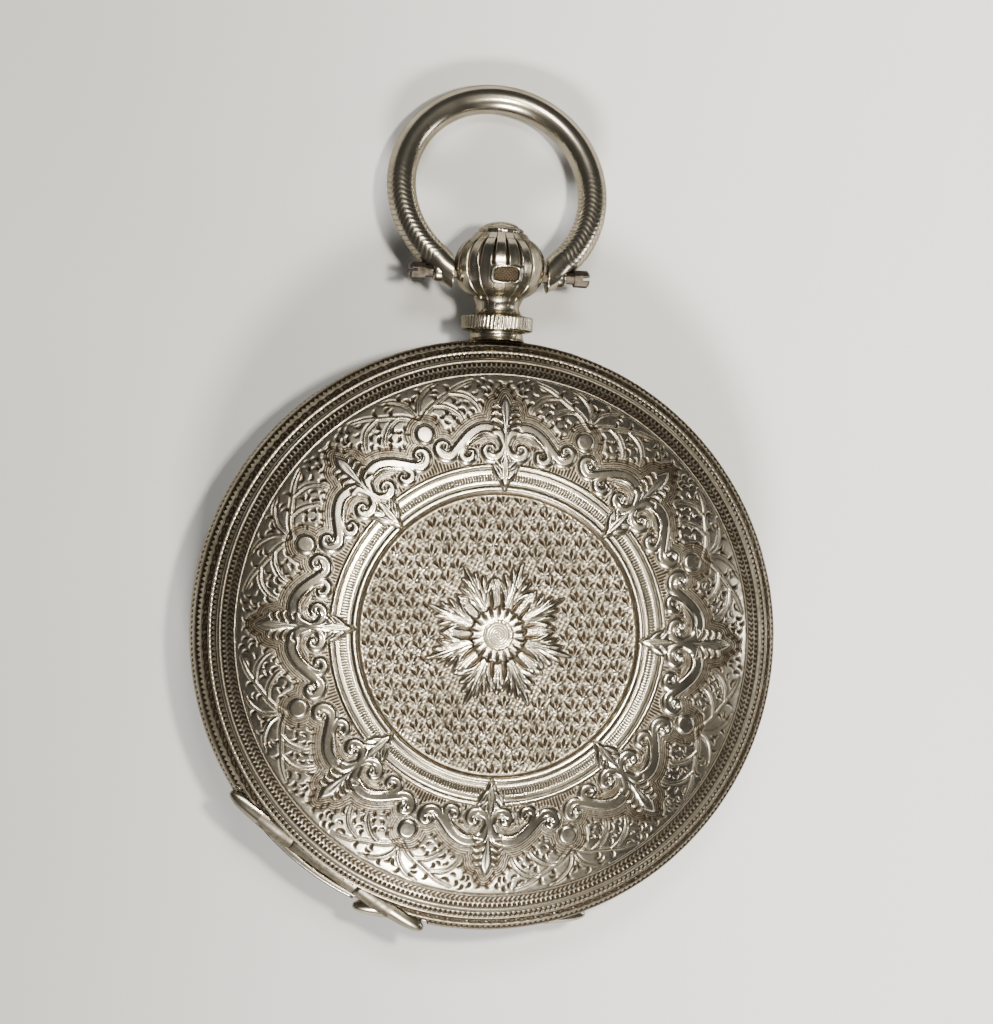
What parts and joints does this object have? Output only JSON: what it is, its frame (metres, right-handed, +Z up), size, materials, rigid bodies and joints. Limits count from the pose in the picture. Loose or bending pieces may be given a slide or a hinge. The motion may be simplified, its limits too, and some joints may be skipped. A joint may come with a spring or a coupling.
{
  "type": "hunter pocket watch",
  "caption": "Key-wound hunter pocket watch: engraved silver case with hinged covers on both sides, bow on a fluted pendant, and a barred cylinder movement inside.",
  "frame": {"origin": "centre of the front lid's flat outer face, on the table the watch lies on", "axes": "+Z up through the back cover, +Y to the pendant and bow, +X across the case"},
  "size_m": [0.0438, 0.0645, 0.0124],
  "materials": {
    "silver": "engraved sterling silver, tarnished in the cuts",
    "dark_steel": "dull dark steel",
    "blued_steel": "heat-blued and polished",
    "steel": "polished",
    "gilt_brass": "frosted gilding",
    "brass": "polished",
    "enamel": "fired white enamel on copper",
    "glass": "clear watch glass"
  },
  "bodies": {
    "front_lid": {"front_lid": "silver"},
    "case": {"case_middle": "silver", "pendant": "silver", "front_hinge_pin": "dark_steel", "back_hinge_pin": "dark_steel", "bezel_hinge_pin": "dark_steel", "cuvette_hinge_pin": "dark_steel", "bow_screw_left": "dark_steel", "bow_screw_right": "dark_steel", "lift_spring": "steel", "dial": "enamel", "main_plate": "gilt_brass", "click_spring": "steel", "hairspring": "blued_steel", "mainspring": "steel", "barrel_bridge": "gilt_brass", "center_bar": "gilt_brass", "third_cock": "gilt_brass", "fourth_cock": "gilt_brass", "escape_cock": "gilt_brass", "balance_cock": "gilt_brass", "barrel_bridge_screw_left": "blued_steel", "barrel_bridge_screw_right": "blued_steel", "center_bar_screw": "blued_steel", "third_cock_screw": "blued_steel", "fourth_cock_screw": "blued_steel", "escape_cock_screw": "blued_steel", "balance_cock_screw": "blued_steel", "case_screw_left": "blued_steel", "case_screw_right": "blued_steel", "click_screw": "blued_steel", "lock_spring_screw": "blued_steel", "lift_spring_screw": "blued_steel"},
    "back_cover": {"back_cover": "silver"},
    "bezel": {"bezel": "silver", "crystal": "glass"},
    "cuvette": {"cuvette": "silver"},
    "bow": {"bow": "silver"},
    "push_piece": {"push_piece": "silver"},
    "lock_spring": {"lock_spring": "steel"},
    "center": {"center_wheel": "brass", "cannon_pinion": "steel", "minute_hand": "blued_steel"},
    "hour": {"hour_wheel": "brass", "hour_hand": "blued_steel"},
    "minute_wheel": {"minute_wheel": "brass"},
    "third": {"third_wheel": "brass"},
    "fourth": {"fourth_wheel": "brass", "seconds_hand": "blued_steel"},
    "escape": {"escape_wheel": "steel"},
    "barrel": {"barrel": "brass", "barrel_cover": "brass"},
    "winding": {"barrel_arbor": "steel", "ratchet_wheel": "steel"},
    "click": {"click": "steel"},
    "balance": {"balance_wheel": "brass", "balance_staff": "steel"},
    "regulator": {"regulator": "steel"}
  },
  "joints": [
    {"name": "front_lid_hinge", "type": "hinge", "parent": "front_lid", "child": "case", "pos_m": [0, -0.02066, 0.0052], "axis": [1, 0, 0], "range_deg": [0, 95]},
    {"name": "bezel_hinge", "type": "hinge", "parent": "case", "child": "bezel", "pos_m": [0, -0.0186, 0.0044], "axis": [1, 0, 0], "range_deg": [-48, 0]},
    {"name": "back_cover_hinge", "type": "hinge", "parent": "case", "child": "back_cover", "pos_m": [-0.01125, -0.01733, 0.0072], "axis": [-0.8387, 0.5446, 0], "range_deg": [-100, 0]},
    {"name": "cuvette_hinge", "type": "hinge", "parent": "case", "child": "cuvette", "pos_m": [-0.01013, -0.0156, 0.008], "axis": [-0.8387, 0.5446, 0], "range_deg": [-50, 0]},
    {"name": "bow_hinge", "type": "hinge", "parent": "case", "child": "bow", "pos_m": [0, 0.027, 0.0062], "axis": [1, 0, 0], "range_deg": [-69, 111]},
    {"name": "push_piece_slide", "type": "slide", "parent": "case", "child": "push_piece", "axis": [0, -1, 0], "range_m": [0, 0.0004], "stiffness_N_per_m": 400, "springref_m": -0.0002},
    {"name": "lock_spring_flex", "type": "hinge", "parent": "case", "child": "lock_spring", "pos_m": [-0.01795, -0.00653, 0.00595], "axis": [0, 0, -1], "range_deg": [0, 1.5]},
    {"name": "fourth_arbor", "type": "hinge", "parent": "case", "child": "fourth", "pos_m": [0, -0.0075, 0.006], "axis": [0, 0, 1], "continuous": true},
    {"name": "center_arbor", "type": "hinge", "parent": "case", "child": "center", "pos_m": [0, 0, 0.006], "axis": [0, 0, 1], "continuous": true},
    {"name": "third_arbor", "type": "hinge", "parent": "case", "child": "third", "pos_m": [0.00287, -0.00425, 0.006], "axis": [0, 0, 1], "continuous": true},
    {"name": "escape_arbor", "type": "hinge", "parent": "case", "child": "escape", "pos_m": [-0.00396, -0.0075, 0.006], "axis": [0, 0, 1], "continuous": true},
    {"name": "barrel_turn", "type": "hinge", "parent": "case", "child": "barrel", "pos_m": [0, 0.00792, 0.006], "axis": [0, 0, 1], "continuous": true},
    {"name": "hour_turn", "type": "hinge", "parent": "case", "child": "hour", "pos_m": [0, 0, 0.004], "axis": [0, 0, 1], "continuous": true},
    {"name": "minute_wheel_turn", "type": "hinge", "parent": "case", "child": "minute_wheel", "pos_m": [0.00212, 0.00212, 0.004], "axis": [0, 0, 1], "continuous": true},
    {"name": "balance_swing", "type": "hinge", "parent": "case", "child": "balance", "pos_m": [-0.00629, -0.00517, 0.008], "axis": [0, 0, 1], "range_deg": [-130, 130], "stiffness_Nm_per_rad": 0.0000005, "deforming": ["hairspring"]},
    {"name": "winding_turn", "type": "hinge", "parent": "case", "child": "winding", "pos_m": [0, 0.00792, 0.008], "axis": [0, 0, 1], "continuous": true, "deforming": ["mainspring"]},
    {"name": "click_pivot", "type": "hinge", "parent": "case", "child": "click", "pos_m": [0.0051, 0.0096, 0.009], "axis": [0, 0, -1], "range_deg": [0, 12], "stiffness_Nm_per_rad": 0.00002, "springref_deg": -2.86, "deforming": ["click_spring"]},
    {"name": "regulator_turn", "type": "hinge", "parent": "case", "child": "regulator", "pos_m": [-0.00629, -0.00517, 0.01], "axis": [0, 0, 1], "range_deg": [-20, 20]}
  ],
  "couplings": [
    {"joint": "bezel_hinge", "follows": "front_lid_hinge", "ratio": -0.5},
    {"joint": "cuvette_hinge", "follows": "back_cover_hinge", "ratio": 0.5},
    {"joint": "lock_spring_flex", "follows": "push_piece_slide", "rad_per_m": 55.716},
    {"joint": "center_arbor", "follows": "fourth_arbor", "ratio": 0.016667},
    {"joint": "third_arbor", "follows": "fourth_arbor", "ratio": -0.13333},
    {"joint": "escape_arbor", "follows": "fourth_arbor", "ratio": -10},
    {"joint": "barrel_turn", "follows": "fourth_arbor", "ratio": -0.0020833},
    {"joint": "hour_turn", "follows": "fourth_arbor", "ratio": 0.0013889},
    {"joint": "minute_wheel_turn", "follows": "fourth_arbor", "ratio": -0.0055556}
  ]
}
